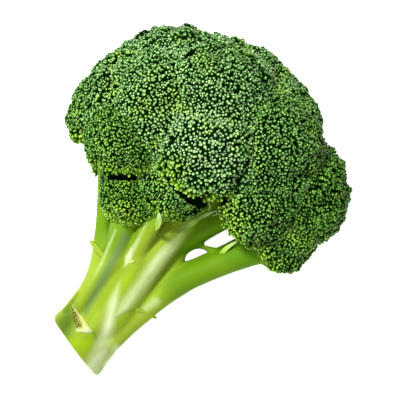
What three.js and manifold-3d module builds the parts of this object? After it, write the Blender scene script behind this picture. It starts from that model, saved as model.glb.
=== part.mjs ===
// A cut head of broccoli lying on its side: one stalk, a stem for each floret, the florets' bud heads,
// and the small leaves and leaf stubs left on the stalk. Millimetres, +Z up.
//
// The plant is laid out in its own frame first: x runs up the stalk from the middle of the cut,
// z points out of the side that is shown, y lies across. Then the whole plant is turned so that it
// rests on its lower florets and the end of the stalk, with the origin under its middle.

import * as THREE from 'three';
import { mergeVertices } from 'three/addons/utils/BufferGeometryUtils.js';
import Module from 'manifold-3d';

const wasm = await Module();
wasm.setup();

// ---- driving dimensions --------------------------------------------------------------------

const GAP = 0.3;                  // clearance between neighbouring pieces
const LIE_TILT = 18.56;           // degrees the stalk rises from the cut end to the crown
const LIE_ROLL = 4.26;            // degrees the plant is rolled about its stalk
const HUB = [94, -12, 3];         // where the stalk ends and the upper stems fan out
const FLORET_DETAIL = 4;          // subdivisions of a floret's ball
const BUMP_HEIGHT = 1.1;          // relief of the bud clusters on a floret
const STEM_SIDES = 8;
const STEM_ROWS = 4;

// The stalk: centre line and radius at each station up the plant.
const STALK = [
  { at: [-12, 0.6, 0], radius: 18.8 },
  { at: [6, -0.7, 0], radius: 18.7 },
  { at: [20, -2.8, 0.5], radius: 18.9 },
  { at: [34, -3.6, 1], radius: 19.6 },
  { at: [46, -4.5, 1], radius: 18 },
  { at: [58, -6, 1], radius: 13.5 },
  { at: [72, -7.5, 2], radius: 10.5 },
  { at: [94, -12, 3], radius: 10 },
];
const STALK_SIDES = 20;
const CUT_SLANT = 18.8;           // degrees the cut is off square to the stalk
const RIDGE_COUNT = 5;            // shallow ridges up the stalk, one under each main branch
const RIDGE_HEIGHT = 0.045;       // of the radius

// The florets. at and radius give the ball the buds follow, base how far below the ball's centre the
// bud head stops. from is where its stem leaves, by way of via; without them it leaves the hub.
const FLORETS = [
  { name: 'front', at: [129, -1, 29], radius: 28.5, base: 7, stem: 6.5 },
  { name: 'front_up', at: [149, 11, 17], radius: 35, base: 0, stem: 5.5 },
  { name: 'front_mid', at: [135, 31, 18], radius: 31, base: 9, stem: 5 },
  { name: 'front_right', at: [147, -24, 17], radius: 31, base: 14, stem: 5 },
  { name: 'top_left', at: [147, 33, -3], radius: 37, base: -4, stem: 5 },
  { name: 'top', at: [163, 11, -4], radius: 33.5, base: 0, stem: 5.5 },
  { name: 'top_right', at: [163, -2, -5], radius: 32, base: 0, stem: 4.5 },
  { name: 'right_up', at: [158, -20, -3], radius: 30, base: 4, stem: 5 },
  { name: 'right', at: [141, -51, 1], radius: 28, base: 5, stem: 5.5 },
  { name: 'left_top', at: [130, 45, 4], radius: 32, base: 2, stem: 5.5 },
  { name: 'far_left', at: [113, 56, 0], radius: 22, base: 9, stem: 4.2,
    from: [38, 9, 0], via: [66, 25, 0] },
  { name: 'front_left', at: [108, 41, 23], radius: 20, base: 7, stem: 4.2,
    from: [48, 8, 7], via: [78, 21, 9] },
  { name: 'low_left', at: [87, 21, 14], radius: 17.5, base: 10, stem: 5.6,
    from: [36, 3, 7], via: [60, 11, 14] },
  { name: 'low_mid', at: [103, 6, 20], radius: 18.5, base: 11, stem: 5,
    from: [46, -2, 7], via: [68, 2, 17] },
  { name: 'front_low', at: [122, -37, 20], radius: 22, base: 9, stem: 5,
    from: [62, -11, -1], via: [90, -20, -1] },
  { name: 'right_low', at: [136, -61, 1], radius: 20.5, base: 7, stem: 4.6,
    from: [70, -29, -1], via: [98, -45, -2] },
  { name: 'low_right', at: [113, -61, 8], radius: 17.5, base: 8, stem: 6.4,
    from: [32, -12, 2], via: [70, -30, 4] },
  { name: 'back_up', at: [150, 9, -28], radius: 31, base: -2, stem: 5 },
  { name: 'back_left', at: [129, 34, -36], radius: 27, base: 1, stem: 5 },
  { name: 'back_right', at: [143, -27, -36], radius: 29, base: 1, stem: 5 },
  { name: 'back_mid', at: [121, 3, -35], radius: 21.5, base: 5, stem: 5.5 },
  { name: 'back_low', at: [101, 9, -28], radius: 19, base: 9, stem: 4.6,
    from: [46, 1, -7], via: [72, 4, -21] },
  { name: 'back_low_left', at: [104, 38, -23], radius: 20, base: 8, stem: 4.4,
    from: [48, 7, -7], via: [76, 21, -12] },
  { name: 'back_low_right', at: [121, -38, -26], radius: 22, base: 8, stem: 4.6,
    from: [66, -13, -4], via: [92, -22, -15] },
];

// Small leaves, bracts and leaf stubs: thin curved blades that stand on the stalk.
const LEAVES = [
  { name: 'bract_long', from: [76, -14, 8], via: [88, -19, 12], to: [99, -24, 11], width: 5, thick: 1.8 },
  { name: 'bract_low', from: [86, -38, 7], via: [92, -37, 13], to: [99, -41, 12], width: 5, thick: 1.8 },
  { name: 'bract_mid', from: [77, 1, 19], via: [83, -1, 30], to: [88, 4, 33], width: 5, thick: 1.8 },
  { name: 'bract_left', from: [54, 2, 15], via: [57, 1, 19], to: [60, 2, 22], width: 4.5, thick: 1.8 },
  { name: 'leaf_stub_left', from: [49, 13, 5], via: [51.5, 20, 5], to: [53, 25, 2], width: 4, thick: 2.4 },
  { name: 'leaf_stub_right',
    from: [37, -15, 10], via: [38, -22, 10], to: [39, -28, 5], width: 4, thick: 2.4 },
  { name: 'leaf_scar', from: [8, 3, 15.5], via: [14, 4, 20], to: [19, 6, 20], width: 12, thick: 3 },
];

const GREEN_BUDS = { color: 0x4f7d33, roughness: 0.85, metalness: 0 };
const GREEN_STALK = { color: 0xa9c552, roughness: 0.5, metalness: 0 };
const GREEN_STEM = { color: 0x8fb83c, roughness: 0.5, metalness: 0 };
const GREEN_LEAF = { color: 0xb9cc72, roughness: 0.6, metalness: 0 };

// ---- solids --------------------------------------------------------------------------------

function toSolid(geometry) {
  const bare = geometry.clone();
  bare.deleteAttribute('normal');
  bare.deleteAttribute('uv');
  const welded = mergeVertices(bare, 1e-4);
  return new wasm.Manifold(new wasm.Mesh({
    numProp: 3,
    vertProperties: new Float32Array(welded.attributes.position.array),
    triVerts: new Uint32Array(welded.index.array),
  }));
}

function toGeometry(solid) {
  const mesh = solid.getMesh();
  const geometry = new THREE.BufferGeometry();
  geometry.setAttribute('position', new THREE.BufferAttribute(new Float32Array(mesh.vertProperties), 3));
  geometry.setIndex(new THREE.BufferAttribute(new Uint32Array(mesh.triVerts), 1));
  geometry.computeVertexNormals();
  return geometry;
}

// A cut can leave crumbs: the piece is the biggest part of what is left.
function biggest(solid) {
  const parts = solid.decompose();
  parts.sort((p, q) => q.volume() - p.volume());
  return parts[0];
}

function point([x, y, z]) {
  return new THREE.Vector3(x, y, z);
}

// A lathe turned about its axis and then laid along a curve. rings lists {t, radius} from end to end;
// the first and last rings are closed on the axis. shape, where given, scales a ring by its angle.
function bentLathe(curve, rings, sides, shape) {
  const profile = [new THREE.Vector2(0, 0)];
  rings.forEach((ring, row) => profile.push(new THREE.Vector2(ring.radius, row + 1)));
  profile.push(new THREE.Vector2(0, rings.length + 2));
  const lathe = new THREE.LatheGeometry(profile, sides);
  const position = lathe.attributes.position;
  const stations = [rings[0], ...rings, rings[rings.length - 1]];
  const up = new THREE.Vector3(0, 0, 1);
  for (let i = 0; i < position.count; i += 1) {
    const row = i % profile.length;
    const t = stations[row].t;
    const along = curve.getTangent(t);
    const side = new THREE.Vector3().crossVectors(along, up).normalize();
    const front = new THREE.Vector3().crossVectors(side, along);
    const angle = Math.atan2(position.getX(i), position.getZ(i));
    const swell = shape ? shape(angle, t) : 1;
    const place = curve.getPoint(t);
    place.addScaledVector(front, position.getZ(i) * swell);
    place.addScaledVector(side, position.getX(i) * swell);
    position.setXYZ(i, place.x, place.y, place.z);
  }
  return toSolid(lathe);
}

// ---- stalk ---------------------------------------------------------------------------------

const stalkCurve = new THREE.CatmullRomCurve3(STALK.map((station) => point(station.at)), false, 'centripetal');

function stalkRidges(angle, t) {
  return 1 + RIDGE_HEIGHT * Math.cos(RIDGE_COUNT * angle + 1.5 * t) * Math.min(1, 3 * t + 0.3);
}

function stalkSolid(grow) {
  const last = STALK.length - 1;
  const rings = STALK.map((station, i) => ({ t: i / last, radius: station.radius + grow }));
  rings.splice(1, 0, { t: 0.5 / last, radius: 0.5 * (STALK[0].radius + STALK[1].radius) + grow });
  const slant = THREE.MathUtils.degToRad(CUT_SLANT);
  const inward = [Math.cos(slant), -Math.sin(slant), 0];
  return bentLathe(stalkCurve, rings, STALK_SIDES, stalkRidges).trimByPlane(inward, 0);
}

// ---- florets and their stems ---------------------------------------------------------------

function floretPlan(floret) {
  const centre = point(floret.at);
  const from = point(floret.from ?? HUB);
  const via = floret.via ? point(floret.via) : null;
  const lean = new THREE.Vector3().subVectors(centre, via ?? from).normalize();
  const base = centre.clone().addScaledVector(lean, -floret.base);
  const bend = via ?? from.clone().lerp(base, 0.5);
  return { ...floret, centre, lean, base, curve: new THREE.QuadraticBezierCurve3(from, bend, base) };
}

function stemSolid(plan, grow) {
  const end = 1 - GAP / plan.curve.getLength();
  const rings = [];
  for (let row = 0; row <= STEM_ROWS; row += 1) {
    const t = end * row / STEM_ROWS;
    const flare = 1 + 0.5 * t ** 6 + 0.25 * (1 - t) ** 3;
    rings.push({ t, radius: plan.stem * flare + grow });
  }
  return bentLathe(plan.curve, rings, STEM_SIDES);
}

// Bud clusters: a low, even relief over the ball.
function clusterRelief(direction, phase) {
  const a = Math.sin(6.1 * direction.x + 2.3 * direction.y + phase);
  const b = Math.sin(5.7 * direction.y - 2.9 * direction.z + 2 * phase);
  const c = Math.sin(6.4 * direction.z + 2.7 * direction.x - phase);
  return BUMP_HEIGHT * (a + b + c) / 2;
}

function ballSolid(plan, index) {
  const ball = new THREE.IcosahedronGeometry(1, FLORET_DETAIL);
  const position = ball.attributes.position;
  const direction = new THREE.Vector3();
  for (let i = 0; i < position.count; i += 1) {
    direction.fromBufferAttribute(position, i).normalize();
    const reach = plan.radius + clusterRelief(direction, 1.7 * index);
    position.setXYZ(i, direction.x * reach, direction.y * reach, direction.z * reach);
  }
  ball.translate(plan.centre.x, plan.centre.y, plan.centre.z);
  return toSolid(ball);
}

// Neighbouring bud heads meet on the flat where their two balls cross; each stops half a gap short.
function floretSolid(plan, index, plans) {
  let solid = ballSolid(plan, index);
  solid = solid.trimByPlane(plan.lean.toArray(), plan.lean.dot(plan.base));
  for (const other of plans) {
    const apart = new THREE.Vector3().subVectors(plan.centre, other.centre);
    const distance = apart.length();
    if (other === plan || distance > plan.radius + other.radius + 4) continue;
    const normal = apart.divideScalar(distance);
    const share = (distance ** 2 + other.radius ** 2 - plan.radius ** 2) / (2 * distance);
    const offset = normal.dot(other.centre) + share + GAP / 2;
    solid = solid.trimByPlane(normal.toArray(), offset);
  }
  return solid;
}

// ---- small leaves --------------------------------------------------------------------------

function leafSolid(leaf) {
  const curve = new THREE.QuadraticBezierCurve3(point(leaf.from), point(leaf.via), point(leaf.to));
  const rings = [0, 0.35, 0.7, 1].map((t) => ({ t, radius: Math.sqrt(Math.max(1.02 - t * t, 0.05)) }));
  const half = leaf.width / 2;
  const flat = leaf.thick / 2;
  return bentLathe(curve, rings, 8, (angle) => Math.hypot(flat * Math.cos(angle), half * Math.sin(angle)));
}

// ---- the whole plant -----------------------------------------------------------------------

const plans = FLORETS.map(floretPlan);
const pieces = [];
const stalk = stalkSolid(0);
pieces.push({ name: 'main_stalk', solid: stalk, look: GREEN_STALK });

const grownStalk = stalkSolid(GAP);
let grownStems = null;
for (const plan of plans) {
  let stem = stemSolid(plan, 0).subtract(grownStalk);
  if (grownStems) stem = stem.subtract(grownStems);
  stem = biggest(stem);
  pieces.push({ name: `stem_${plan.name}`, solid: stem, look: GREEN_STEM });
  const grown = stemSolid(plan, GAP);
  grownStems = grownStems ? grownStems.add(grown) : grown;
}

plans.forEach((plan, index) => {
  let solid = floretSolid(plan, index, plans);
  for (const other of plans) {
    if (other !== plan) solid = solid.subtract(stemSolid(other, GAP));
  }
  solid = biggest(solid.subtract(grownStalk));
  pieces.push({ name: `floret_${plan.name}`, solid, look: GREEN_BUDS });
});

for (const leaf of LEAVES) {
  const solid = biggest(leafSolid(leaf).subtract(grownStalk).subtract(grownStems));
  pieces.push({ name: leaf.name, solid, look: GREEN_LEAF });
}

const plant = new THREE.Group();
for (const piece of pieces) {
  const mesh = new THREE.Mesh(toGeometry(piece.solid), new THREE.MeshStandardMaterial(piece.look));
  mesh.name = piece.name;
  plant.add(mesh);
}
plant.rotation.set(
  THREE.MathUtils.degToRad(LIE_ROLL),
  THREE.MathUtils.degToRad(-LIE_TILT),
  0,
  'YXZ',
);

const group = new THREE.Group();
group.add(plant);
group.updateMatrixWorld(true);
const box = new THREE.Box3().setFromObject(plant, true);
plant.position.set(-(box.min.x + box.max.x) / 2, -(box.min.y + box.max.y) / 2, -box.min.z);

export default group;
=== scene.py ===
# %% [markdown]
# # A broccoli head, lying on its side
#
# The head grows here in its own measurements, in millimetres, the way the plant is built: a stalk that
# splits into stems, and a domed head of flower buds on each stem. At the end everything is laid down
# into the frame's pose, where the head rests on two florets and the rim of the cut.

# %% Load the frame
import math

import bpy
import numpy as np
from mathutils import Matrix, Vector


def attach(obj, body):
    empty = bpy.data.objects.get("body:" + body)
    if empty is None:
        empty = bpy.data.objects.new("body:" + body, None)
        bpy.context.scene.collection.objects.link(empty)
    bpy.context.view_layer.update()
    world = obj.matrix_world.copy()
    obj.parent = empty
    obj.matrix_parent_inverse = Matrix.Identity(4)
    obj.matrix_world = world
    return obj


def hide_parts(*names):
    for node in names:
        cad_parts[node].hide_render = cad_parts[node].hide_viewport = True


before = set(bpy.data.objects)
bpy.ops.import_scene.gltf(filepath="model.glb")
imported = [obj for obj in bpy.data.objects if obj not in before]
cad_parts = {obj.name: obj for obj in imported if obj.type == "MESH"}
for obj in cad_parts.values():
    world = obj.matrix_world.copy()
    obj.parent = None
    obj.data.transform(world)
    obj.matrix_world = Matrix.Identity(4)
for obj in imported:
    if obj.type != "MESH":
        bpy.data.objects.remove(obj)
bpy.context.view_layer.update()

rng = np.random.default_rng(7)
print("frame nodes:", len(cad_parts))

# %% [markdown]
# ## From the plant's own axes to the lying pose
#
# x runs up the stalk from the middle of the cut, z points out of the shown side, y lies across. The
# plant is rolled about its stalk, tipped up towards the crown, and moved onto the floor.

# %% Lay the plant down
LIE_TILT = math.radians(18.56)
LIE_ROLL = math.radians(4.26)
PLANT_AT = np.array([-90.32, 1.24, 17.88])


def turned():
    """The plant's axes as the columns of a matrix: a roll about x, then a tip up about y."""
    tilt_cos, tilt_sin = math.cos(LIE_TILT), math.sin(LIE_TILT)
    roll_cos, roll_sin = math.cos(LIE_ROLL), math.sin(LIE_ROLL)
    tip = np.array([[tilt_cos, 0, -tilt_sin], [0, 1, 0], [tilt_sin, 0, tilt_cos]])
    roll = np.array([[1, 0, 0], [0, roll_cos, -roll_sin], [0, roll_sin, roll_cos]])
    return tip @ roll


TURN = turned()


def laid(points_mm):
    """Plant millimetres to row metres: turn, then shift, then scale by a thousandth."""
    return (np.asarray(points_mm) @ TURN.T + PLANT_AT) * 0.001


UP = TURN.T @ np.array([0.0, 0.0, 1.0])


def pressed(points_mm, clear):
    """The points, with those that would sink into the floor raised to the given height over it."""
    height = laid(points_mm)[..., 2] * 1000
    return points_mm + np.maximum(clear - height, 0)[..., None] * UP


print("the crown's axis rises", round(math.degrees(LIE_TILT), 1), "degrees")

# %% [markdown]
# ## The plant's plan
#
# Each floret is a ball that its buds follow. `at` is the ball's middle and `radius` its size. `base`
# says how far below the middle the bud head stops. `stem` is the stem's half-width, and `start` and
# `via` guide it. A floret without them has a straight stem from the hub, where the main stems part.

# %% Floret plan
HUB = (94, -12, 3)
FLORETS = {
    "front": dict(at=(129, -1, 29), radius=28.5, base=7, stem=6.5),
    "front_up": dict(at=(149, 11, 17), radius=35, base=0, stem=5.5),
    "front_mid": dict(at=(135, 31, 18), radius=31, base=9, stem=5),
    "front_right": dict(at=(147, -24, 17), radius=31, base=14, stem=5),
    "top_left": dict(at=(147, 33, -3), radius=37, base=-4, stem=5),
    "top": dict(at=(163, 11, -4), radius=29.4, base=0, stem=5.5),
    "top_right": dict(at=(163, -2, -5), radius=29.6, base=0, stem=4.5),
    "right_up": dict(at=(158, -20, -3), radius=30, base=4, stem=5),
    "right": dict(at=(141, -51, 1), radius=28, base=5, stem=5.5),
    "left_top": dict(at=(130, 45, 4), radius=32, base=2, stem=5.5),
    "far_left": dict(at=(113, 56, 0), radius=22, base=9, stem=4.2, start=(38, 9, 0), via=(66, 25, 0)),
    "front_left": dict(at=(108.5, 40.5, 25.5), radius=20.5, base=8.6, stem=4.2,
                       start=(48, 8, 7), via=(78, 21, 9)),
    "low_left": dict(at=(87.5, 21, 14), radius=18.0, base=12.8, stem=5.6,
                     start=(36, 3, 7), via=(60, 11, 14)),
    "low_mid": dict(at=(103, 6, 20), radius=18.6, base=12.5, stem=5,
                    start=(46, -2, 7), via=(68, 2, 17)),
    "front_low": dict(at=(122, -37, 20), radius=22, base=9, stem=5,
                      start=(62, -11, -1), via=(90, -20, -1)),
    "right_low": dict(at=(136, -61, 1), radius=20.5, base=7, stem=4.6,
                      start=(70, -29, -1), via=(98, -45, -2)),
    "low_right": dict(at=(113, -61, 8), radius=17.5, base=8, stem=6.4,
                      start=(32, -12, 2), via=(70, -30, 4)),
    "back_up": dict(at=(150, 9, -28), radius=31, base=-2, stem=5),
    "back_left": dict(at=(129, 34, -36), radius=27, base=1, stem=5),
    "back_right": dict(at=(143, -27, -36), radius=29, base=1, stem=5),
    "back_mid": dict(at=(121, 3, -35), radius=21.5, base=5, stem=5.5),
    "back_low": dict(at=(101, 9, -28), radius=19, base=9, stem=4.6,
                     start=(46, 1, -7), via=(72, 4, -21)),
    "back_low_left": dict(at=(104, 38, -23), radius=20, base=8, stem=4.4,
                          start=(48, 7, -7), via=(76, 21, -12)),
    "back_low_right": dict(at=(121, -38, -26), radius=22, base=8, stem=4.6,
                           start=(66, -13, -4), via=(92, -22, -15)),
}


def unit(v):
    """v divided by its length."""
    v = np.asarray(v, float)
    return v / np.linalg.norm(v, axis=-1, keepdims=True)


for plan in FLORETS.values():
    centre = np.array(plan["at"], float)
    start = np.array(plan.get("start", HUB), float)
    plan["lean"] = unit(centre - np.array(plan.get("via", start), float))
    plan["foot"] = centre - plan["lean"] * plan["base"]
    plan["bend"] = np.array(plan.get("via", (start + plan["foot"]) / 2), float)
    plan["start_at"] = start

CENTRES = np.array([plan["at"] for plan in FLORETS.values()], float)
RADII = np.array([plan["radius"] for plan in FLORETS.values()], float)
CROWN_SIDES = np.concatenate([CENTRES[:, 1] - RADII, CENTRES[:, 1] + RADII])
print("florets:", len(FLORETS), "crown across:", round(float(np.ptp(CROWN_SIDES)), 1), "mm")

# %% [markdown]
# ## Making a mesh from plain arrays
#
# Every new piece is made of vertex positions and faces from numpy. Per-corner map places and
# per-vertex values ride along as attributes.


# %% Mesh maker
def make_piece(name, verts_mm, faces, values=None, corner_uv=None):
    """A smooth-shaded mesh. faces is a list of index arrays, each (count, sides). values holds one
    number per vertex under each name. corner_uv holds one map place per face corner."""
    mesh = bpy.data.meshes.new(name)
    loops = np.concatenate([f.reshape(-1) for f in faces]).astype(np.int32)
    sides = np.concatenate([np.full(len(f), f.shape[1], np.int32) for f in faces])
    starts = np.concatenate([[0], np.cumsum(sides)[:-1]]).astype(np.int32)
    mesh.vertices.add(len(verts_mm))
    mesh.vertices.foreach_set("co", laid(verts_mm).astype(np.float32).reshape(-1))
    mesh.loops.add(len(loops))
    mesh.loops.foreach_set("vertex_index", loops)
    mesh.polygons.add(len(sides))
    mesh.polygons.foreach_set("loop_start", starts)
    mesh.update(calc_edges=True)
    mesh.validate()
    mesh.polygons.foreach_set("use_smooth", np.ones(len(mesh.polygons), bool))
    for key, column in (values or {}).items():
        layer = mesh.attributes.new(key, "FLOAT", "POINT")
        layer.data.foreach_set("value", np.asarray(column, np.float32))
    if corner_uv is not None:
        uv = mesh.uv_layers.new(name="OFBake")
        uv.data.foreach_set("uv", np.asarray(corner_uv, np.float32).reshape(-1))
    piece = bpy.data.objects.new(name, mesh)
    bpy.context.scene.collection.objects.link(piece)
    return piece


def ring_faces(rows, sides):
    """Faces of a closed stack of rings: four-sided ones between the rings, and a fan at each end to
    that end's own point. The two end points come after the rings."""
    i, k = np.meshgrid(np.arange(rows - 1), np.arange(sides), indexing="ij")
    here = i * sides + k
    beside = i * sides + (k + 1) % sides
    quads = np.stack([here, beside, beside + sides, here + sides], axis=2).reshape(-1, 4)
    k = np.arange(sides)
    n = (k + 1) % sides
    base = (rows - 1) * sides
    low = np.stack([n, k, np.full(sides, rows * sides)], axis=1)
    top = np.stack([base + k, base + n, np.full(sides, rows * sides + 1)], axis=1)
    return quads, np.concatenate([low, top])


def ball_directions(count, jitter, spin):
    """Evenly spread directions: each steps down the ball by an equal height and round by the golden
    angle, then moves by a small random amount."""
    place = np.arange(count) + 0.5
    height = 1 - 2 * place / count
    turn = place * math.pi * (3 - math.sqrt(5)) + spin
    flat = np.sqrt(1 - height * height)
    ways = np.stack([flat * np.cos(turn), flat * np.sin(turn), height], axis=1)
    return unit(ways + rng.normal(0, jitter, ways.shape))


def frame_of(lean):
    """Two directions square to lean and to each other."""
    other = np.array([0.0, 0.0, 1.0]) if abs(lean[2]) < 0.8 else np.array([1.0, 0.0, 0.0])
    side = unit(np.cross(other, lean))
    return side, np.cross(lean, side)


def waves(points_mm, size, seed):
    """A smooth value from -1 to 1 that wanders over the given size: a sum of sine waves that run in
    random directions."""
    draw = np.random.default_rng(seed)
    total = np.zeros(len(points_mm))
    for _ in range(6):
        way = unit(draw.normal(size=3)) * draw.uniform(0.7, 1.6) * 2 * math.pi / size
        total += np.sin(points_mm @ way + draw.uniform(0, 6.3))
    return total / 3.2


def smooth_step(x, low, high):
    """0 below low, 1 above high, and a soft s-curve between."""
    t = np.clip((x - low) / (high - low), 0, 1)
    return t * t * (3 - 2 * t)


print("mesh tools ready")

# %% [markdown]
# ## Florets
#
# A floret is a domed core with many buds on it. The dome is divided into small clusters, each a low
# mound with a groove round it, as the branchlets below push up in groups, and small ripples roughen
# the mounds. The buds sit on them, one lattice per floret, and lean with the surface. Where two
# florets meet, each stops at the other.

# %% Cluster relief
CLUSTER = 11.0
CLUSTER_RISE = 2.0
CLUSTER_HALF = 0.62 * CLUSTER
CLUSTER_STRAY = 0.26
CLUSTER_UNEVEN, CLUSTER_MOST = 0.75, 1.2
RIPPLE = 5.5
RIPPLE_RISE = 0.45


def relief(directions, radius, seeds):
    """How far the surface stands out along each direction, and which way it leans. The rise falls with
    the square of the distance from the nearest cluster's middle, and each cluster has its own height
    besides, the last number of its seed."""
    cosine = np.clip(directions @ seeds[:, :3].T, -1, 1)
    near = np.argmax(cosine, axis=1)
    away = np.arccos(cosine[np.arange(len(directions)), near]) * radius
    rise = CLUSTER_RISE * (0.75 - (away / CLUSTER_HALF) ** 2)
    rise = np.maximum(rise, -0.8 * CLUSTER_RISE)
    rise = rise + seeds[near, 3]
    outward = directions - seeds[near, :3] * cosine[np.arange(len(directions)), near][:, None]
    length = np.maximum(np.linalg.norm(outward, axis=1, keepdims=True), 1e-6)
    slope = 2 * CLUSTER_RISE * away / CLUSTER_HALF**2
    return rise, outward / length * slope[:, None]


def ripples(points, index):
    """The small waves over a floret's mounds, in millimetres; each floret has its own."""
    return RIPPLE_RISE * waves(points, RIPPLE, index + 40)


BUD_SIDES = 6
BUD_RINGS = [(-0.55, 0.80), (0.15, 1.0), (0.72, 0.74)]


def bud_shape():
    """One bud as unit rings round its axis, closed by a point at each end: vertices, faces with three
    and with four sides, and each vertex's place from foot 0 to tip 1."""
    turn = np.arange(BUD_SIDES) * 2 * math.pi / BUD_SIDES
    rows = [np.array([[0, 0, -1.0]])]
    for height, wide in BUD_RINGS:
        level = np.full(BUD_SIDES, height)
        rows.append(np.stack([wide * np.cos(turn), wide * np.sin(turn), level], axis=1))
    rows.append(np.array([[0, 0, 1.02]]))
    verts = np.concatenate(rows)
    k = np.arange(BUD_SIDES)
    step = (k + 1) % BUD_SIDES
    foot = np.stack([np.zeros(BUD_SIDES, int), 1 + step, 1 + k], axis=1)
    quads = []
    for ring in range(len(BUD_RINGS) - 1):
        low = 1 + ring * BUD_SIDES
        high = low + BUD_SIDES
        quads.append(np.stack([low + k, low + step, high + step, high + k], axis=1))
    top = 1 + (len(BUD_RINGS) - 1) * BUD_SIDES
    tip = np.stack([top + k, top + step, np.full(BUD_SIDES, len(verts) - 1)], axis=1)
    return verts, np.concatenate([foot, tip]), np.concatenate(quads), (verts[:, 2] + 1) / 2.02


BUD_VERTS, BUD_TRIS, BUD_QUADS, BUD_HEIGHTS = bud_shape()
print("faces per bud:", len(BUD_TRIS) + len(BUD_QUADS))

# %% [markdown]
# The plan of the buds: BUD_PITCH is the distance between them, FINE has the florets whose buds are
# closer or wider apart, and the lush table says how deep and dark a green a floret has: a deeper green
# of its own on the low florets, and painted shade on the right-hand ones. A spot is a round patch on the
# shown side, with its x, y, reach and strength: young yellow buds, or buds with a waxy bloom whose
# paler tips are partly a painted highlight.

# %% Bud plan
BUD_PITCH = 1.78
FINE = {"front_left": 1.55, "low_left": 1.5, "low_mid": 1.6, "front": 1.98, "front_low": 1.75,
        "right_low": 1.7, "low_right": 1.6}
# How deep a green each floret's buds are: on the low florets their own deeper green, on the right-hand
# ones (right, right_up, front_right) painted shade.
LUSH_AND_SHADE = {"front_left": 0.8, "low_left": 1.0, "low_mid": 0.7, "front_low": 0.7, "right_low": 0.8,
        "low_right": 0.9, "far_left": 0.7, "right": 0.9, "right_up": 0.5, "front_right": 0.5,
        "left_top": 0.2}
# Where the front floret's buds are paler: a waxy bloom, and painted light that brightens that floret.
WAXY_AND_LIT_SPOT = (130, 3, 34, 0.55)
YELLOW_SPOTS = [(128, 61, 9, 0.6), (129, 42, 11, 0.6), (110, 10, 13, 0.9), (76, 18, 12, 1.0),
                (185, 17, 11, 0.4), (168, 29, 9, 0.5), (112, -25, 9, 0.9), (106, -34, 10, 0.9),
                (101, -52, 10, 0.7), (140, 8, 7, 0.5)]
SOFT_JOIN = 2.6

# How deep the core and the bud feet are under the relief, how high both stay over the floor, and how
# far the buds go on past the rim and into a neighbour.
CORE_SUNK, BUD_SUNK = 1.9, 1.1
CORE_CLEAR, BUD_CLEAR = 0.8, 2.3
PAST_RIM, INTO_NEIGHBOUR = 3.2, 1.6

# The core's steps down and round the dome, its cone's rows, and the cone's depth against its width.
CORE_STEP_DOWN, CORE_STEP_ROUND = 2.0, 2.4
CONE_ROWS, CONE_DEPTH = 8, 0.62

# How a bud varies: its width, its height against its width, its lean in the open and at the rim, and
# how far it stands out or in.
BUD_WIDTHS, BUD_TALLNESS = (0.74, 1.20), (1.0, 1.3)
BUD_LEAN, RIM_LEAN, BUD_STRAY = 0.10, 0.22, 0.26
print("spots of young buds:", len(YELLOW_SPOTS))


def spots_value(points, spots):
    """How much of something is near each spot: its strength at its middle and 0 at its reach, on the
    shown side."""
    value = np.zeros(len(points))
    for x, y, reach, strength in spots:
        away = np.hypot(points[:, 0] - x, points[:, 1] - y)
        value = np.maximum(value, strength * smooth_step(-away, -reach, -0.2 * reach))
    return value * smooth_step(points[:, 2], -4, 4)


def outside_others(points, own):
    """How far each point on one floret's ball is outside its nearest neighbour's, negative inside."""
    apart = np.linalg.norm(points[:, None, :] - CENTRES[None], axis=2) - RADII[None]
    apart[:, own] = 9
    return np.min(apart, axis=1)


def filled(points, steps=3):
    """The points moved out so that the valleys between neighbouring balls are filled softly. The
    surface they go to is where minus SOFT_JOIN times the log of the summed exponentials of the
    distances is nought. Each step moves a point by at most 0.8 times 4.5 millimetres, also one deep
    inside a neighbour."""
    start = points
    for _ in range(steps):
        away = points[:, None, :] - CENTRES[None]
        length = np.linalg.norm(away, axis=2)
        weight = np.exp(-np.clip(length - RADII[None], -12, 40) / SOFT_JOIN)
        total = weight.sum(axis=1)
        depth = np.clip(SOFT_JOIN * np.log(total), 0, 4.5)
        way = unit((away / length[..., None] * weight[..., None]).sum(axis=1) / total[:, None] + 1e-9)
        points = points + way * depth[:, None] * 0.8
    return points - start


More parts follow.
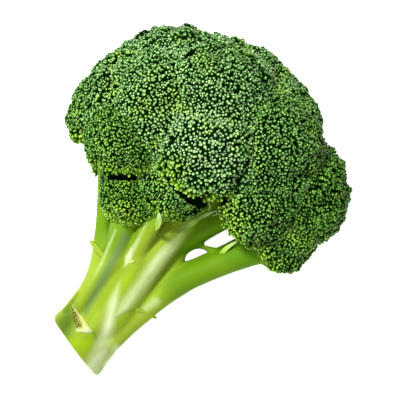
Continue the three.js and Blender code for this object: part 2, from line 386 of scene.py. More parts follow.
# %% Grow one floret
def grow_core(index, plan, seeds):
    """The closed core: rows of points from the top of the dome to its rim, then in along a ribbed cone
    to the stem. Gives back its points, four- and three-sided faces, map places, and how far each point
    is under the rim, from 0 on the dome to 1 at the stem."""
    centre = np.array(plan["at"], float)
    radius, lean = plan["radius"], plan["lean"]
    side_a, side_b = frame_of(lean)
    edge = math.acos(np.clip(-(plan["base"] + 1.0) / radius, -0.85, 0.85))
    rows = int(radius * edge / CORE_STEP_DOWN)
    cols = int(2 * math.pi * radius / CORE_STEP_ROUND)
    turn = np.arange(cols) * 2 * math.pi / cols
    fall, sweep = np.meshgrid(np.linspace(0.02, edge, rows), turn, indexing="ij")
    out_way = (np.cos(fall)[..., None] * lean + (np.sin(fall) * np.cos(sweep))[..., None] * side_a
               + (np.sin(fall) * np.sin(sweep))[..., None] * side_b).reshape(-1, 3)
    rise, _ = relief(out_way, radius, seeds)
    ball = centre + out_way * radius
    rise = rise + ripples(ball, index)
    lift = filled(ball) * smooth_step(outside_others(ball, index), -5, -0.5)[:, None]
    dome = pressed(ball + lift + out_way * (rise - CORE_SUNK)[:, None], CORE_CLEAR)

    rim_out = radius * math.sin(edge)
    rim_down = radius * math.cos(edge)
    steps = np.linspace(0.12, 1, CONE_ROWS)
    cone = []
    for step in steps:
        out = rim_out * (1 - step) ** 1.25 + plan["stem"] * 0.8 * step
        out = out * (1 + 0.10 * np.sin(9 * turn + index) * math.sin(math.pi * step))
        down = rim_down - CONE_DEPTH * rim_out * step
        cone.append(centre + lean * down + (np.cos(turn) * out)[:, None] * side_a
                    + (np.sin(turn) * out)[:, None] * side_b)
    ends = [dome[:cols].mean(axis=0), centre + lean * (rim_down - (CONE_DEPTH + 0.02) * rim_out)]
    verts = np.concatenate([dome, *cone, ends])
    total_rows = rows + CONE_ROWS
    quads, tris = ring_faces(total_rows, cols)

    # The map: the core takes the left quarter.
    place = np.arange(total_rows * cols)
    row = np.concatenate([1 + place // cols, [0, total_rows + 1]])
    col = np.concatenate([place % cols, [0, 0]])
    uv = np.stack([0.01 + 0.22 * col / cols, 0.01 + 0.98 * row / (total_rows + 1)], axis=1)
    # The material paints the core nearly black on the dome, as shade between the buds, and greener down
    # the cone.
    cone_under = np.repeat(np.minimum(0.45 + steps, 1), cols)
    under = np.concatenate([np.zeros(rows * cols), cone_under, [0, 1]])
    return verts, quads[:, ::-1], tris[:, ::-1], uv, under


def grow_buds(index, name, plan, seeds):
    """All the closed buds of a floret: points, four- and three-sided faces, map places, and the values
    that the material reads."""
    centre = np.array(plan["at"], float)
    radius = plan["radius"]
    pitch = FINE.get(name, BUD_PITCH)
    number = int(4 * math.pi * radius**2 / (0.866 * pitch**2))
    spots = ball_directions(number, 0.25 * pitch / radius, 2.1 * index)
    rise, slope = relief(spots, radius, seeds)
    rise = rise + ripples(centre + spots * radius, index)
    high = spots @ plan["lean"] * radius + plan["base"]
    free = outside_others(centre + spots * (radius + np.minimum(rise, 0.6))[:, None], index)
    keep = (high > -PAST_RIM) & (free > -INTO_NEIGHBOUR)
    spots, rise, slope, high, free = (x[keep] for x in (spots, rise, slope, high, free))
    count = len(spots)
    rim = (1 - smooth_step(high, -2.0, 5.5)) * smooth_step(free, 1.0, 4.0)
    ball = centre + spots * radius
    lift = filled(ball)
    body = ball + lift + spots * (rise - BUD_SUNK)[:, None]

    # Each bud's size, and the way it points: out with the surface, and more astray at the rim.
    mound = smooth_step(rise, -0.4 * CLUSTER_RISE, 0.7 * CLUSTER_RISE)
    size = 0.5 * pitch * (0.92 + 0.16 * mound) * rng.uniform(*BUD_WIDTHS, count)
    tall = size * rng.uniform(*BUD_TALLNESS, count) * (1 + 0.7 * rim)
    sway = rng.normal(0, BUD_LEAN, (count, 3)) + rng.normal(0, RIM_LEAN, (count, 3)) * rim[:, None]
    axis = unit(spots + lift * 0.12 + slope * 0.8 + sway)
    helper = np.where(np.abs(axis[:, 2:3]) < 0.8, [[0.0, 0.0, 1.0]], [[1.0, 0.0, 0.0]])
    plain_a = unit(np.cross(helper, axis))
    plain_b = np.cross(axis, plain_a)
    spin = rng.uniform(0, 6.28, count)
    side_a = plain_a * np.cos(spin)[:, None] + plain_b * np.sin(spin)[:, None]
    side_b = plain_b * np.cos(spin)[:, None] - plain_a * np.sin(spin)[:, None]
    body = pressed(body + axis * (rng.normal(0, BUD_STRAY, count) + 0.5 * rim)[:, None], BUD_CLEAR)
    verts = (body[:, None, :] + side_a[:, None, :] * (BUD_VERTS[None, :, 0:1] * size[:, None, None])
             + side_b[:, None, :] * (BUD_VERTS[None, :, 1:2] * size[:, None, None])
             + axis[:, None, :] * (BUD_VERTS[None, :, 2:3] * tall[:, None, None])).reshape(-1, 3)
    per = len(BUD_VERTS)
    shift = (per * np.arange(count))[:, None, None]
    quads = (BUD_QUADS[None] + shift).reshape(-1, 4)
    tris = (BUD_TRIS[None] + shift).reshape(-1, 3)

    # The map: each bud has a cell of its own to the right of the core's quarter.
    wide = int(math.ceil(math.sqrt(count)))
    cell = np.arange(count)
    round_part = np.arctan2(BUD_VERTS[:, 1], BUD_VERTS[:, 0]) / (2 * math.pi) % 1.0
    across = ((cell % wide)[:, None] + 0.1 + 0.8 * round_part) / wide
    upward = ((cell // wide)[:, None] + 0.1 + 0.8 * BUD_HEIGHTS) / wide
    uv = np.stack([0.26 + 0.73 * across.reshape(-1), 0.005 + 0.99 * upward.reshape(-1)], axis=1)
    young = np.maximum(rim, 0.8 * spots_value(ball, YELLOW_SPOTS))
    values = dict(tip=np.tile(BUD_HEIGHTS, count), tint=np.repeat(rng.uniform(0, 1, count), per),
                  rim=np.repeat(young, per), waxy_and_lit=np.repeat(spots_value(ball, [WAXY_AND_LIT_SPOT]), per))
    return verts, quads, tris, uv, values


def grow_floret(index, name, plan):
    """The floret as one mesh, the core first and then the buds. A tip of -1 marks the core."""
    radius = plan["radius"]
    clusters = int(4 * math.pi * radius**2 / (0.8 * CLUSTER**2))
    seeds = ball_directions(clusters, CLUSTER_STRAY * CLUSTER / radius, index)
    extra = rng.normal(0, CLUSTER_UNEVEN, (len(seeds), 1)).clip(-CLUSTER_MOST, CLUSTER_MOST)
    seeds = np.hstack([seeds, extra])
    core, core_quads, core_tris, core_uv, under = grow_core(index, plan, seeds)
    buds, bud_quads, bud_tris, bud_uv, bud_values = grow_buds(index, name, plan, seeds)
    size = len(core)
    core_values = dict(tip=np.full(size, -1.0), tint=np.full(size, 0.5), rim=under, waxy_and_lit=np.zeros(size))
    values = {key: np.concatenate([core_values[key], bud_values[key]]) for key in core_values}
    values["lush_and_shade"] = np.full(size + len(buds), LUSH_AND_SHADE.get(name, 0.0))
    faces = [core_tris, core_quads, bud_tris + size, bud_quads + size]
    corner = np.concatenate([f.reshape(-1) for f in faces])
    piece = make_piece("buds_" + name, np.concatenate([core, buds]), faces, values,
                       np.concatenate([core_uv, bud_uv])[corner])
    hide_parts("floret_" + name)
    return piece, len(buds) // len(BUD_VERTS)


floret_pieces = []
bud_total = 0
for index, (name, plan) in enumerate(FLORETS.items()):
    piece, count = grow_floret(index, name, plan)
    floret_pieces.append(piece)
    bud_total += count
print("buds:", bud_total, "faces on florets:", sum(len(p.data.polygons) for p in floret_pieces))

# %% [markdown]
# ## The stalk and its stems
#
# The stalk and stems are one fused skin. Each is a chain of balls of changing size along a curve, and
# the skin is a soft join of them all. Slender ribs under the skin run down from each main branch and
# give the stalk its ridges, a web fills the fork on the right, and a twig crosses above it. The joined
# surface starts as a plain voxel skin and its points are then moved onto the exact soft join.

# %% Chains of balls
STALK_LINE = np.array([[-4, 0.3, 0], [6, -0.7, 0], [20, -2.8, 0.5], [34, -3.6, 1], [46, -4.5, 1],
                       [58, -6, 1], [72, -7.5, 2], [94, -12, 3]], float)
STALK_SIZE = np.array([19.6, 18.6, 17.6, 18.6, 16.9, 12.6, 9.8, 9.4])


def curve_through(start, bend, end, count):
    """Points on a curve that leaves start towards bend and arrives at end: a quadratic Bezier."""
    t = np.linspace(0, 1, count)[:, None]
    return (1 - t) ** 2 * np.array(start) + 2 * t * (1 - t) * np.array(bend) + t * t * np.array(end)


def finer(line, size, parts):
    """The chain with more balls, by straight steps between the given ones, then softened."""
    old = np.arange(len(line))
    new = np.linspace(0, len(line) - 1, (len(line) - 1) * parts + 1)
    points = np.stack([np.interp(new, old, line[:, k]) for k in range(3)], axis=1)
    sizes = np.interp(new, old, size)
    for _ in range(parts):
        points[1:-1] = (points[:-2] + 2 * points[1:-1] + points[2:]) / 4
        sizes[1:-1] = (sizes[:-2] + 2 * sizes[1:-1] + sizes[2:]) / 4
    return points, sizes


CHAIN_BALLS = 9
PART_WAY = np.linspace(0, 1, CHAIN_BALLS)
STEM_SWELL = 1 + 0.35 * PART_WAY**5 + 0.2 * (1 - PART_WAY) ** 3
CHAINS = {"stalk": finer(STALK_LINE, STALK_SIZE, 3)}
for name, plan in FLORETS.items():
    line = curve_through(plan["start_at"], plan["bend"], plan["foot"], CHAIN_BALLS)
    CHAINS[name] = (line, plan["stem"] * STEM_SWELL)

# Each rib's curve, and its half-width at the curve's start, middle and end.

RIBS = {
    "rib_low_left": ([(6, 12, 13), (26, 11, 15), (50, 8, 13)], (4.5, 5.0, 5.4)),
    "rib_low_mid": ([(14, -3, 16), (34, -5, 17), (56, -2, 14)], (5.0, 5.2, 5.2)),
    "rib_main": ([(22, -9, 13), (42, -9, 14), (76, -9, 5)], (6.5, 7.5, 8.6)),
    "rib_low_right": ([(16, -16, 8), (34, -18, 6), (60, -27, 4)], (5.5, 6.5, 6.2)),
    "rib_far_left": ([(12, 10, 3), (36, 8, 1), (58, 19.5, 0)], (4.2, 4.8, 4.6)),
    "rib_foot": ([(-5, -14.8, 3), (8, -15.6, 3), (24, -14.2, 3)], (5.6, 5.6, 4.6)),
    "web": ([(58, -20, 2), (66, -20.5, 2), (73, -19.5, 1)], (5.0, 4.4, 3.0)),
    "twig": ([(82, -19, 1), (86, -27, 3), (88, -36, 3)], (1.3, 1.0, 1.4)),
    "rib_back": ([(6, 0, -13), (30, -2, -15), (60, -4, -8)], (6.0, 6.0, 5.0)),
    "rib_back_right": ([(10, -13, -9), (34, -16, -11), (66, -14, -6)], (5.0, 5.0, 4.6)),
}
for name, (points, size) in RIBS.items():
    CHAINS[name] = (curve_through(*points, CHAIN_BALLS), np.interp(PART_WAY, [0, 0.5, 1], size))

SLANT = math.radians(18.8)
CUT_WAY = np.array([-math.cos(SLANT), math.sin(SLANT), 0.0])
RIM_SOFT = 0.9
print("chains:", len(CHAINS))


def chain_distance(points, line, size):
    """Distance to one chain: the nearest place on each straight step, less the size there."""
    best = np.full(len(points), 1e3)
    for k in range(len(line) - 1):
        step = line[k + 1] - line[k]
        t = np.clip((points - line[k]) @ step / (step @ step), 0, 1)
        away = np.linalg.norm(points - line[k] - t[:, None] * step, axis=1)
        best = np.minimum(best, away - (size[k] + t * (size[k + 1] - size[k])))
    return best


def skin_distance(points, soft=1.3):
    """Distance to the soft join: minus soft times the log of the sum of exponentials, then cut off
    softly by the plane of the cut end."""
    total = np.zeros(len(points))
    for line, size in CHAINS.values():
        total += np.exp(-np.clip(chain_distance(points, line, size), -20, 20) / soft)
    d = -soft * np.log(total + 1e-12)
    past_cut = np.clip(points @ CUT_WAY, -30, 30)
    return RIM_SOFT * np.log(np.exp(np.clip(d, -30, 30) / RIM_SOFT) + np.exp(past_cut / RIM_SOFT))


# %% Skin of the stalk
def tube(line, size, sides=12):
    """A closed tube round a chain: a ring at each ball, square to the way the chain runs, and a point
    at each end."""
    way = unit(np.gradient(line, axis=0))
    side_a = unit(np.cross(way, [0.3, 0.2, 1.0]))
    side_b = np.cross(way, side_a)
    turn = np.arange(sides) * 2 * math.pi / sides
    rings = line[:, None] + size[:, None, None] * (np.cos(turn)[None, :, None] * side_a[:, None]
                                                   + np.sin(turn)[None, :, None] * side_b[:, None])
    ends = np.array([line[0] - way[0] * size[0] * 0.4, line[-1] + way[-1] * size[-1] * 0.4])
    return np.concatenate([rings.reshape(-1, 3), ends]), *ring_faces(len(line), sides)


def skin_mesh(voxel):
    """All the tubes in one mesh, skinned by a voxel remesh, given back as plain arrays in plant mm."""
    verts, quads, tris, shift = [], [], [], 0
    for line, size in CHAINS.values():
        v, q, t = tube(line, size)
        verts.append(v)
        quads.append(q + shift)
        tris.append(t + shift)
        shift += len(v)
    rough = make_piece("rough", np.concatenate(verts), [np.concatenate(tris), np.concatenate(quads)])
    remesh = rough.modifiers.new("skin", "REMESH")
    remesh.mode = "VOXEL"
    remesh.voxel_size = voxel * 0.001
    remesh.adaptivity = 0.0
    done = rough.evaluated_get(bpy.context.evaluated_depsgraph_get()).to_mesh()
    co = np.empty(len(done.vertices) * 3, np.float32)
    done.vertices.foreach_get("co", co)
    sides = np.empty(len(done.polygons), np.int32)
    done.polygons.foreach_get("loop_total", sides)
    loops = np.empty(len(done.loops), np.int32)
    done.loops.foreach_get("vertex_index", loops)
    points = (co.reshape(-1, 3) / 0.001 - PLANT_AT) @ TURN
    bpy.data.objects.remove(rough)
    assert np.all(sides == 4)
    return points, loops.reshape(-1, 4)


def slope_of(points):
    """The skin distance and the way it grows, from four nearby samples in a tetrahedron."""
    h = 0.25
    corners = np.array([[1, 1, 1], [1, -1, -1], [-1, 1, -1], [-1, -1, 1]], float) * h
    samples = [skin_distance(points + c) for c in corners]
    way = sum(s[:, None] * c for s, c in zip(samples, corners))
    return sum(samples) / 4, unit(way + 1e-9)


QUICK_VOXEL, FULL_VOXEL = 1.5, 0.9
skin, skin_faces = skin_mesh(FULL_VOXEL)
for _ in range(6):
    gap, way = slope_of(skin)
    skin = skin - way * np.clip(gap, -6, 6)[:, None] * 0.9
still_off = float(np.abs(skin_distance(skin)).max())
print("stalk skin:", len(skin), "points; still off by", round(still_off, 3), "mm")

# %% [markdown]
# ## Marks on the stalk
#
# The skin carries a whitish bloom along its ridges, a greyer stripe of painted shade on the shadow side
# of the ridge beside the lower left branch, lime patches, darker ones by the scar, fine creases darkened
# with painted shade, and a deeper green towards the crown and on the outer stems, with a patch of
# painted shade on the stem beside the main branch. Each is a soft value at the skin's points, most of
# them made from the distance to lines on the skin. A line has x and y places, and the streak's
# half-width at each.


# %% Skin marks
def along_line(points, line, widths):
    """1 in the middle of a streak along the line and 0 at its edge, with a soft fall, seen from the
    shown side. widths gives the streak's half-width at each point of the line."""
    gap = chain_distance(points[:, :2], np.array(line, float), np.array(widths, float))
    return smooth_step(-gap / max(widths), 0, 0.85) * smooth_step(points[:, 2], -9, 6)


BLOOM_LINES = [
    ([(-6, -16), (6, -15), (18, -10.7), (34, -4.4), (50, 1)], (7.5, 7.0, 5.8, 4.8, 0.5)),
    ([(20, -9), (35, -10.5), (56, -12), (70, -12.7), (84, -14), (98, -12)],
     (0.5, 4.8, 6.4, 5.8, 3.8, 0.8)),
    ([(3, -21), (13, -20)], (6, 4)),
    ([(51, 1), (58, 3), (67, 5)], (0.5, 2.6, 0.5)),
]
# Painted shade: a greyer stripe on the shadow side of the ridge beside the lower left branch.
RIDGE_SHADE_LINES = [([(20, 5), (42, 7.6), (66, 10.8)], (3.2, 4.4, 3.8))]
FAINT_LINES = [([(38, -20), (46, -23)], (3.5, 4.5)),
               ([(52, 0), (66, 3.5), (80, 5.5)], (0.5, 2.0, 1.0)),
               ([(26, 10.5), (46, 13), (66, 17)], (0.3, 1.5, 1.0))]
LIME_LINES = [([(20, -15.5), (28, -14.5), (37, -17.5)], (2.5, 5.0, 2.5)),
              ([(2, 7), (5, -5), (13, -6)], (4, 5, 3)),
              ([(40, -5), (47, -4), (54, -3)], (2, 4, 2)),
              ([(44, -20), (52, -22)], (5, 3))]
# Painted shade: a dark patch on the stem beside the main branch, under the crown.
STEM_SHADE_LINES = [([(74, -19), (84, -21), (96, -21)], (3, 7, 6))]
DARK_LINES = [([(-2, 8), (8, 10.5), (18, 13)], (9, 9.5, 5)), ([(14, 14), (26, 14)], (3, 1.5))]
# Painted shade: darker lines where the skin would have fine creases and grooves.
CREASE_SHADE_LINES = [([(37, -17), (32, -12.5), (26, -10), (15, -11)], (1.1, 1.3, 1.2, 0.6)),
                ([(8, 2), (14, -5), (10, -10), (4, -14)], (0.5, 1.0, 1.0, 0.4))]


def marks(points, lines):
    """The strongest of several lines' soft values at each point."""
    return np.max([along_line(points, line, reach) for line, reach in lines], axis=0)


skin_marks = dict(ridge_shade=marks(skin, RIDGE_SHADE_LINES), lime=marks(skin, LIME_LINES),
                  dark=marks(skin, DARK_LINES), crease_shade=marks(skin, CREASE_SHADE_LINES))
skin_marks["bloom"] = np.maximum(marks(skin, BLOOM_LINES), 0.4 * marks(skin, FAINT_LINES))
off_axis = np.abs(skin[:, 1] - np.interp(skin[:, 0], [0, 50, 95], [0, -5, -12]))
# A deeper green towards the crown, on the outer stems and underneath, with the patch of painted shade
# added.
deep_and_shade = smooth_step(skin[:, 0], 82, 104) * 0.85 + marks(skin, STEM_SHADE_LINES)
deep_and_shade = deep_and_shade + smooth_step(off_axis, 7.5, 18) * smooth_step(skin[:, 0], 38, 62) * 0.8
deep_and_shade = deep_and_shade + smooth_step(-skin[:, 2], -2, 4) * smooth_step(skin[:, 0], 55, 75) * 0.6
skin_marks["deep_and_shade"] = np.clip(deep_and_shade, 0, 1)
skin_marks["cut"] = smooth_step(skin @ CUT_WAY, -0.7, -0.1)
stalk_piece = make_piece("stalk_and_stems", skin, [skin_faces], skin_marks)
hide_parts("main_stalk", *["stem_" + n for n in FLORETS])
print("faces on the stalk:", len(stalk_piece.data.polygons))

# %% [markdown]
# ## Small leaves and leaf stubs
#
# Each is a thin closed blade: an oval section that runs along a curve, widest near its foot and
# closed to a point at its tip, with its sides curled up a little. The long one has a wavy edge and two
# thin curled stalks at its tip. The two stubs are thick and flat, with blunt tips.

# %% Leaves
LEAVES = {
    "bract_long": dict(points=[(76, -13.5, 9.5), (92, -11.5, 16), (107, -22.5, 12.5)], width=2.8,
                       thick=0.7, curl=0.5, frill=1.0),
    "bract_low": dict(points=[(86, -38, 7), (92, -37, 13), (99, -41, 12)], width=2.8, thick=0.8,
                      curl=0.6),
    "bract_mid": dict(points=[(79, 0, 20), (83, -1, 30), (87.5, 3, 35)], width=4.2, thick=1.0, curl=0.5),
    "bract_left": dict(points=[(54, 3, 15), (56, 1, 19), (58, -1, 20)], width=2.4, thick=0.8, curl=0.5),
    "leaf_stub_left": dict(points=[(50, 13, 8), (51.3, 19, 8), (53, 25.5, 5)], width=3.4, thick=2.8,
                           curl=0.0, blunt=9),
    "leaf_stub_right": dict(points=[(36.5, -15, 14.5), (38, -22, 12.5), (39, -29, 6)], width=2.6,
                            thick=2.4, curl=0.0, blunt=9),
}
# The long one's curled stalks, each as a curve and its half-width at both ends.
CURLS = [([(110, -10, 14), (106, -20, 22), (103.6, -18, 15)], (0.6, 0.3)),
         ([(114, -18, 15), (112, -29, 19), (102.5, -21.6, 13)], (0.6, 0.3))]
CURL_BALLS = 14


def blade(points, width, thick, curl, blunt=2.2, frill=0.0, rows=30, sides=16):
    """A closed curled blade along a curve. At each station the section is an oval, wide by thick, bent
    up at its sides by curl times the square of the distance from the middle. A bigger blunt keeps the
    width longer and rounds the tip. frill is the height of the waves along its edges."""
    line = curve_through(*points, rows)
    way = unit(np.gradient(line, axis=0))
    side = unit(np.cross(way, [0.1, 0.2, 1.0]))
    up = np.cross(side, way)
    t = np.linspace(0, 1, rows)
    wide = width / 2 * np.sqrt(np.clip(1.03 - t**blunt, 0, 1)) * (0.8 + 0.2 * np.sin(3 * t))
    turn = np.arange(sides) * 2 * math.pi / sides
    x = wide[:, None] * np.cos(turn)
    y = thick / 2 * np.sqrt(np.clip(1.05 - t ** (blunt + 1), 0.02, 1))[:, None] * np.sin(turn)
    y = y + curl * x * x / max(width, 1)
    y = y + frill * np.sin(21 * t)[:, None] * (2 * x / width) ** 2 * np.sign(x)
    rings = line[:, None] + x[..., None] * side[:, None] + y[..., None] * up[:, None]
    verts = np.concatenate([rings.reshape(-1, 3), [line[0] - way[0] * 0.2, line[-1] + way[-1] * 0.3]])
    along = np.concatenate([np.repeat(t, sides), [0, 1]])
    return verts, *ring_faces(rows, sides), along


leaf_pieces = []
for name, leaf in LEAVES.items():
    verts, quads, tris, along = blade(**leaf)
    for points, size in CURLS if name == "bract_long" else []:
        line = curve_through(*points, CURL_BALLS)
        v, q, t = tube(line, np.linspace(*size, CURL_BALLS), 8)
        quads = np.concatenate([quads, q + len(verts)])
        tris = np.concatenate([tris, t + len(verts)])
        verts = np.concatenate([verts, v])
        along = np.concatenate([along, np.full(len(v), 0.7)])
    piece = make_piece("small_" + name, verts, [tris, quads], dict(along=along))
    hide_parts(name)
    leaf_pieces.append(piece)
print("small leaves:", len(leaf_pieces))

# %% [markdown]
# ## The torn leaf scar
#
# A leaf was torn off near the foot and left a three-cornered scar. It is a thin rough plate on the
# skin: low along one side, where its colour is darkened with painted shade as of a pit, with a raised
# lip along the other.

# %% Leaf scar
SCAR_TOP = np.array([19.8, 14.5])
SCAR_LOW = np.array([8.0, 3.0])
SCAR_RIGHT = np.array([14.2, -4.8])
SCAR_ROWS, SCAR_COLS = 44, 40
SCAR_ABOVE, SCAR_SUNK = 19.0, 1.2


def scar_plate(rows, cols):
    """A three-cornered plate on the skin. Its points start above the skin and move onto it. Its top is
    then raised a little, by the cube of the distance across to a lip, and roughened by small waves; its
    underside is sunk in the skin."""
    v, u = np.meshgrid(np.linspace(0.03, 1, rows), np.linspace(0, 1, cols), indexing="ij")
    bow = 0.05 * np.sin(math.pi * u)
    flat = SCAR_TOP + (v + bow * v)[..., None] * ((SCAR_LOW - SCAR_TOP) * (1 - u)[..., None]
                                                  + (SCAR_RIGHT - SCAR_TOP) * u[..., None])
    points = np.concatenate([flat, np.full((*u.shape, 1), SCAR_ABOVE)], axis=2).reshape(-1, 3)
    for _ in range(6):
        gap, way = slope_of(points)
        points = points - way * gap[:, None]
    u, v = u.reshape(-1), v.reshape(-1)
    rough = waves(points, 2.2, 5) * 0.28 + waves(points, 0.9, 6) * 0.14
    rise = 0.35 + 1.2 * u**3 + 0.5 * smooth_step(v, 0.82, 0.95) + rough * (1 - 0.6 * u)
    edge = np.minimum(np.minimum(u, 1 - u) * 8, (1 - v) * 8)
    rise = rise * smooth_step(edge, 0, 0.6) - 0.3 * (1 - smooth_step(edge, 0, 0.5))
    top = points + way * rise[:, None]
    low = points - way * SCAR_SUNK
    verts = np.concatenate([top, low])
    i, k = np.meshgrid(np.arange(rows - 1), np.arange(cols - 1), indexing="ij")
    p = (i * cols + k).reshape(-1)
    upper = np.stack([p, p + 1, p + cols + 1, p + cols], axis=1)
    lower = upper[:, ::-1] + rows * cols
    k = np.arange(cols - 1)
    i = np.arange(rows - 1) * cols
    far = i + cols - 1
    end = (rows - 1) * cols
    half = rows * cols
    walls = [np.stack([k + 1, k, k + half, k + 1 + half], axis=1),
             np.stack([end + k, end + k + 1, end + k + 1 + half, end + k + half], axis=1),
             np.stack([i, i + cols, i + cols + half, i + half], axis=1),
             np.stack([far + cols, far, far + half, far + cols + half], axis=1)]
    return verts, np.concatenate([upper, lower, *walls]), np.tile(u, 2), np.tile(v, 2)


verts, quads, across, down = scar_plate(SCAR_ROWS, SCAR_COLS)
normal_up = np.cross(verts[1] - verts[0], verts[SCAR_COLS] - verts[0])[2]
if normal_up < 0:
    quads = quads[:, ::-1]
scar_piece = make_piece("torn_scar", verts, [quads], dict(across=across, down=down))
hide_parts("leaf_scar")
print("scar faces:", len(scar_piece.data.polygons))

# %% [markdown]
# ## Materials
#
# The buds run from a nearly black foot, painted shade between the buds, through deep green to a pale
# tip, partly a painted highlight; lush florets are greener, the right-hand ones darker with painted
# shade, and the waxy ones paler with bloom and painted light. Warm yellow-green patches wander over the
# crown and follow the rims and the spots of young buds. The stalk's skin is yellow-green with the marks
# above, some of them painted shade.


# %% Shader helpers
def new_material(name, roughness, specular):
    """A material with a Principled shader; gives back the material, its node tree and the shader."""
    material = bpy.data.materials.new(name)
    material.use_nodes = True
    tree = material.node_tree
    shader = tree.nodes["Principled BSDF"]
    shader.inputs["Roughness"].default_value = roughness
    shader.inputs["Specular IOR Level"].default_value = specular
    return material, tree, shader


def attribute(tree, name):
    """A node that reads one of the mesh's own values."""
    node = tree.nodes.new("ShaderNodeAttribute")
    node.attribute_name = name
    return node.outputs["Fac"]


def ramp(tree, value, stops):
    """A colour ramp over value; stops lists (place, colour)."""
    node = tree.nodes.new("ShaderNodeValToRGB")
    tree.links.new(value, node.inputs["Fac"])
    while len(node.color_ramp.elements) < len(stops):
        node.color_ramp.elements.new(0.5)
    for element, (place, colour) in zip(node.color_ramp.elements, stops):
        element.position = place
        element.color = (*colour, 1)
    return node.outputs["Color"]


def mix(tree, amount, first, second):
    """first turned towards second by amount."""
    node = tree.nodes.new("ShaderNodeMix")
    node.data_type = "RGBA"
    for socket, value in ((node.inputs[0], amount), (node.inputs[6], first), (node.inputs[7], second)):
        if hasattr(value, "node"):
            tree.links.new(value, socket)
        elif isinstance(value, tuple):
            socket.default_value = (*value, 1)
        else:
            socket.default_value = value
    return node.outputs[2]


def math_node(tree, kind, first, second):
    """One sum on two values."""
    node = tree.nodes.new("ShaderNodeMath")
    node.operation = kind
    for socket, value in zip(node.inputs, (first, second)):
        if hasattr(value, "node"):
            tree.links.new(value, socket)
        else:
            socket.default_value = value
    return node.outputs[0]


def noise(tree, scale, detail, stretch=(1, 1, 1)):
    """Soft noise over the object's own coordinates, in metres."""
    place = tree.nodes.new("ShaderNodeTexCoord").outputs["Object"]
    mapping = tree.nodes.new("ShaderNodeMapping")
    mapping.inputs["Scale"].default_value = stretch
    tree.links.new(place, mapping.inputs["Vector"])
    node = tree.nodes.new("ShaderNodeTexNoise")
    node.inputs["Scale"].default_value = scale
    node.inputs["Detail"].default_value = detail
    tree.links.new(mapping.outputs["Vector"], node.inputs["Vector"])
    return node.outputs["Fac"]


def span(tree, value, low, high):
    """value stretched so that low gives 0 and high gives 1, kept between them."""
    node = tree.nodes.new("ShaderNodeMapRange")
    tree.links.new(value, node.inputs["Value"])
    node.inputs["From Min"].default_value = low
    node.inputs["From Max"].default_value = high
    return node.outputs["Result"]


# %% Bud material
bud_look, tree, shader = new_material("green_buds", 0.42, 0.0)
tip = attribute(tree, "tip")
shine = math_node(tree, "MULTIPLY", span(tree, tip, 0.62, 1.0), 0.22)
tree.links.new(shine, shader.inputs["Specular IOR Level"])
# From foot to tip in each ramp below: the nearly black feet are painted shade in the gaps between the
# buds, and the pale tips are partly the buds' own bloom and partly a painted highlight.
cool = ramp(tree, tip, [(0.0, (0.0001, 0.003, 0.00005)), (0.55, (0.0012, 0.032, 0.0002)),
                        (0.82, (0.027, 0.158, 0.003)), (1.0, (0.62, 0.92, 0.46))])
# The lush ramp is darker and greener: a deeper green of its own, and painted shade on the right-hand
# florets.
lush_and_shade = ramp(tree, tip, [(0.0, (0.0001, 0.004, 0.00005)), (0.50, (0.0015, 0.034, 0.0001)),
                        (0.82, (0.024, 0.125, 0.001)), (1.0, (0.26, 0.54, 0.06))])
cool = mix(tree, attribute(tree, "lush_and_shade"), cool, lush_and_shade)
# The waxy ramp is paler: waxy bloom, and painted light and painted highlight on the front floret.
waxy_and_lit = ramp(tree, tip, [(0.0, (0.0001, 0.003, 0.00005)), (0.50, (0.0015, 0.034, 0.0003)),
                        (0.78, (0.050, 0.210, 0.010)), (1.0, (0.80, 0.99, 0.64))])
cool = mix(tree, attribute(tree, "waxy_and_lit"), cool, waxy_and_lit)
warm = ramp(tree, tip, [(0.0, (0.0005, 0.010, 0.0001)), (0.50, (0.022, 0.095, 0.0003)),
                        (0.80, (0.14, 0.32, 0.002)), (1.0, (0.60, 0.86, 0.14))])
patches = span(tree, noise(tree, 60, 2), 0.54, 0.72)
rim_value = attribute(tree, "rim")
tint_value = attribute(tree, "tint")
warmth = math_node(tree, "MAXIMUM", math_node(tree, "MULTIPLY", patches, 0.5), rim_value)
warmth = math_node(tree, "ADD", warmth, math_node(tree, "MULTIPLY", tint_value, 0.18))
warmth = span(tree, warmth, 0.0, 1.0)
bud_colour = mix(tree, warmth, cool, warm)
darker = span(tree, tint_value, -0.6, 1.0)
bud_colour = mix(tree, math_node(tree, "SUBTRACT", 1.0, darker), bud_colour, (0.012, 0.06, 0.006))
# Painted shade: the core is nearly black on the dome, in the gaps between the buds, and turns green down
# the cone towards the stem.
core_colour = mix(tree, rim_value, (0.0008, 0.009, 0.0003), (0.13, 0.27, 0.02))
is_core = math_node(tree, "LESS_THAN", tip, -0.5)
tree.links.new(mix(tree, is_core, bud_colour, core_colour), shader.inputs["Base Color"])
for piece in floret_pieces:
    piece.data.materials.append(bud_look)

# %% Stalk material
# Each mark's colour and strength; the deeper green carries a patch of painted shade, and the grey ridge
# stripe and the creases are painted shade.
MARK_COLOURS = [("deep_and_shade", 0.92, (0.075, 0.20, 0.0005)), ("lime", 0.6, (0.27, 0.43, 0.0005)),
                ("ridge_shade", 0.95, (0.125, 0.21, 0.05)), ("dark", 0.95, (0.085, 0.155, 0.012)),
                ("crease_shade", 0.7, (0.12, 0.24, 0.01))]
stalk_look, tree, shader = new_material("stalk_skin", 0.55, 0.06)
streaks = noise(tree, 34, 5, (0.35, 1.6, 1.6))
base = mix(tree, span(tree, streaks, 0.35, 0.68), (0.195, 0.295, 0.010), (0.30, 0.41, 0.035))
for mark, strength, colour in MARK_COLOURS:
    base = mix(tree, math_node(tree, "MULTIPLY", attribute(tree, mark), strength), base, colour)
broken = span(tree, noise(tree, 60, 4, (0.4, 1.5, 1.5)), 0.2, 0.6)
soft_bloom = math_node(tree, "MULTIPLY", attribute(tree, "bloom"), broken)
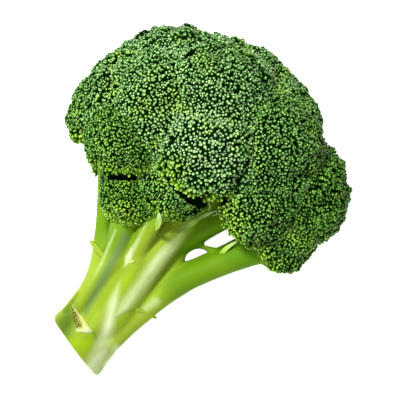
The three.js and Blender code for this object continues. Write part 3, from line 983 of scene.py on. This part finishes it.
base = mix(tree, math_node(tree, "MULTIPLY", soft_bloom, 0.92), base, (0.62, 0.71, 0.40))
cut_colour = mix(tree, span(tree, noise(tree, 300, 3), 0.3, 0.7), (0.62, 0.68, 0.36), (0.48, 0.58, 0.24))
base = mix(tree, attribute(tree, "cut"), base, cut_colour)
tree.links.new(base, shader.inputs["Base Color"])
stalk_piece.data.materials.append(stalk_look)

# %% Leaf and scar materials
leaf_look, tree, shader = new_material("pale_leaf", 0.55, 0.1)
tone = ramp(tree, attribute(tree, "along"), [(0.0, (0.27, 0.46, 0.04)), (0.6, (0.36, 0.54, 0.10)),
                                             (1.0, (0.50, 0.63, 0.27))])
tree.links.new(tone, shader.inputs["Base Color"])
for piece in leaf_pieces:
    piece.data.materials.append(stalk_look if "stub" in piece.name else leaf_look)

scar_look, tree, shader = new_material("torn_leaf_scar", 0.75, 0.15)
flesh = mix(tree, span(tree, noise(tree, 900, 4), 0.42, 0.60), (0.10, 0.10, 0.015), (0.34, 0.34, 0.06))
flesh = mix(tree, span(tree, attribute(tree, "across"), 0.45, 0.75), flesh, (0.50, 0.55, 0.16))
# Painted shade: the low side is darkened as if it lay in a pit.
flesh = mix(tree, span(tree, attribute(tree, "across"), 0.22, 0.02), flesh, (0.05, 0.075, 0.012))
flesh = mix(tree, span(tree, attribute(tree, "down"), 0.80, 0.90), flesh, (0.46, 0.55, 0.24))
tree.links.new(flesh, shader.inputs["Base Color"])
scar_piece.data.materials.append(scar_look)
print("materials made")

# %% [markdown]
# ## Camera, floor and light
#
# The camera looks straight at the shown side, square to the stalk, so it looks down on the lying head.
# It is turned so that the stalk comes up from the lower left. The floor is plain and nearly white. One
# soft light stands to the upper left of the view, and a weaker one stands near the camera.

# %% Camera
LEAN = math.radians(35)
right_way = TURN @ np.array([math.sin(LEAN), -math.cos(LEAN), 0])
up_way = TURN @ np.array([math.cos(LEAN), math.sin(LEAN), 0])
out_way = TURN @ np.array([0.0, 0.0, 1.0])
AIM = laid(np.array([105.8, -11.2, 0.0]))
DISTANCE = 1.4
VIEW_WIDTH = 0.2207
SENSOR = 36
camera_data = bpy.data.cameras.new("camera")
camera = bpy.data.objects.new("camera", camera_data)
bpy.context.scene.collection.objects.link(camera)
camera_data.sensor_width = SENSOR
camera_data.lens = SENSOR * DISTANCE / VIEW_WIDTH
camera_data.clip_end = 20
place = Matrix((right_way, up_way, out_way)).transposed().to_4x4()
place.translation = Vector(AIM + out_way * DISTANCE)
camera.matrix_world = place
bpy.context.scene.camera = camera

# %% Floor and lights
FLOOR_HALF = 6
floor_corners = [(FLOOR_HALF * x, FLOOR_HALF * y, 0) for x, y in ((-1, -1), (1, -1), (1, 1), (-1, 1))]
floor_mesh = bpy.data.meshes.new("floor")
floor_mesh.from_pydata(floor_corners, [], [(0, 1, 2, 3)])
floor = bpy.data.objects.new("floor", floor_mesh)
bpy.context.scene.collection.objects.link(floor)
floor_look, tree, shader = new_material("floor_white", 0.9, 0.1)
shader.inputs["Base Color"].default_value = (0.93, 0.93, 0.93, 1)
shader.inputs["Emission Color"].default_value = (1, 1, 1, 1)
shader.inputs["Emission Strength"].default_value = 0.86
floor.data.materials.append(floor_look)

world = bpy.data.worlds.new("studio")
world.use_nodes = True
world.node_tree.nodes["Background"].inputs["Color"].default_value = (1, 1, 1, 1)
world.node_tree.nodes["Background"].inputs["Strength"].default_value = 0.17
bpy.context.scene.world = world


def soft_light(name, away, size, power):
    """A round light of the given size at a place given in the camera's directions: right, up, out."""
    data = bpy.data.lights.new(name, "AREA")
    data.shape = "DISK"
    data.size = size
    data.energy = power
    light = bpy.data.objects.new(name, data)
    spot = AIM + right_way * away[0] + up_way * away[1] + out_way * away[2]
    aim = Vector(AIM - spot)
    light.rotation_euler = aim.to_track_quat("-Z", "Y").to_euler()
    light.location = spot
    bpy.context.scene.collection.objects.link(light)


soft_light("key", (-0.52, 0.68, 1.13), 0.32, 30)
soft_light("fill", (0.0, -0.3, 1.35), 0.6, 7)
bpy.context.scene.view_settings.view_transform = "Standard"

# %% [markdown]
# ## Hand the pieces to the frame

# %% Ride and finish
for piece in [stalk_piece, scar_piece, *floret_pieces, *leaf_pieces]:
    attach(piece, "root")
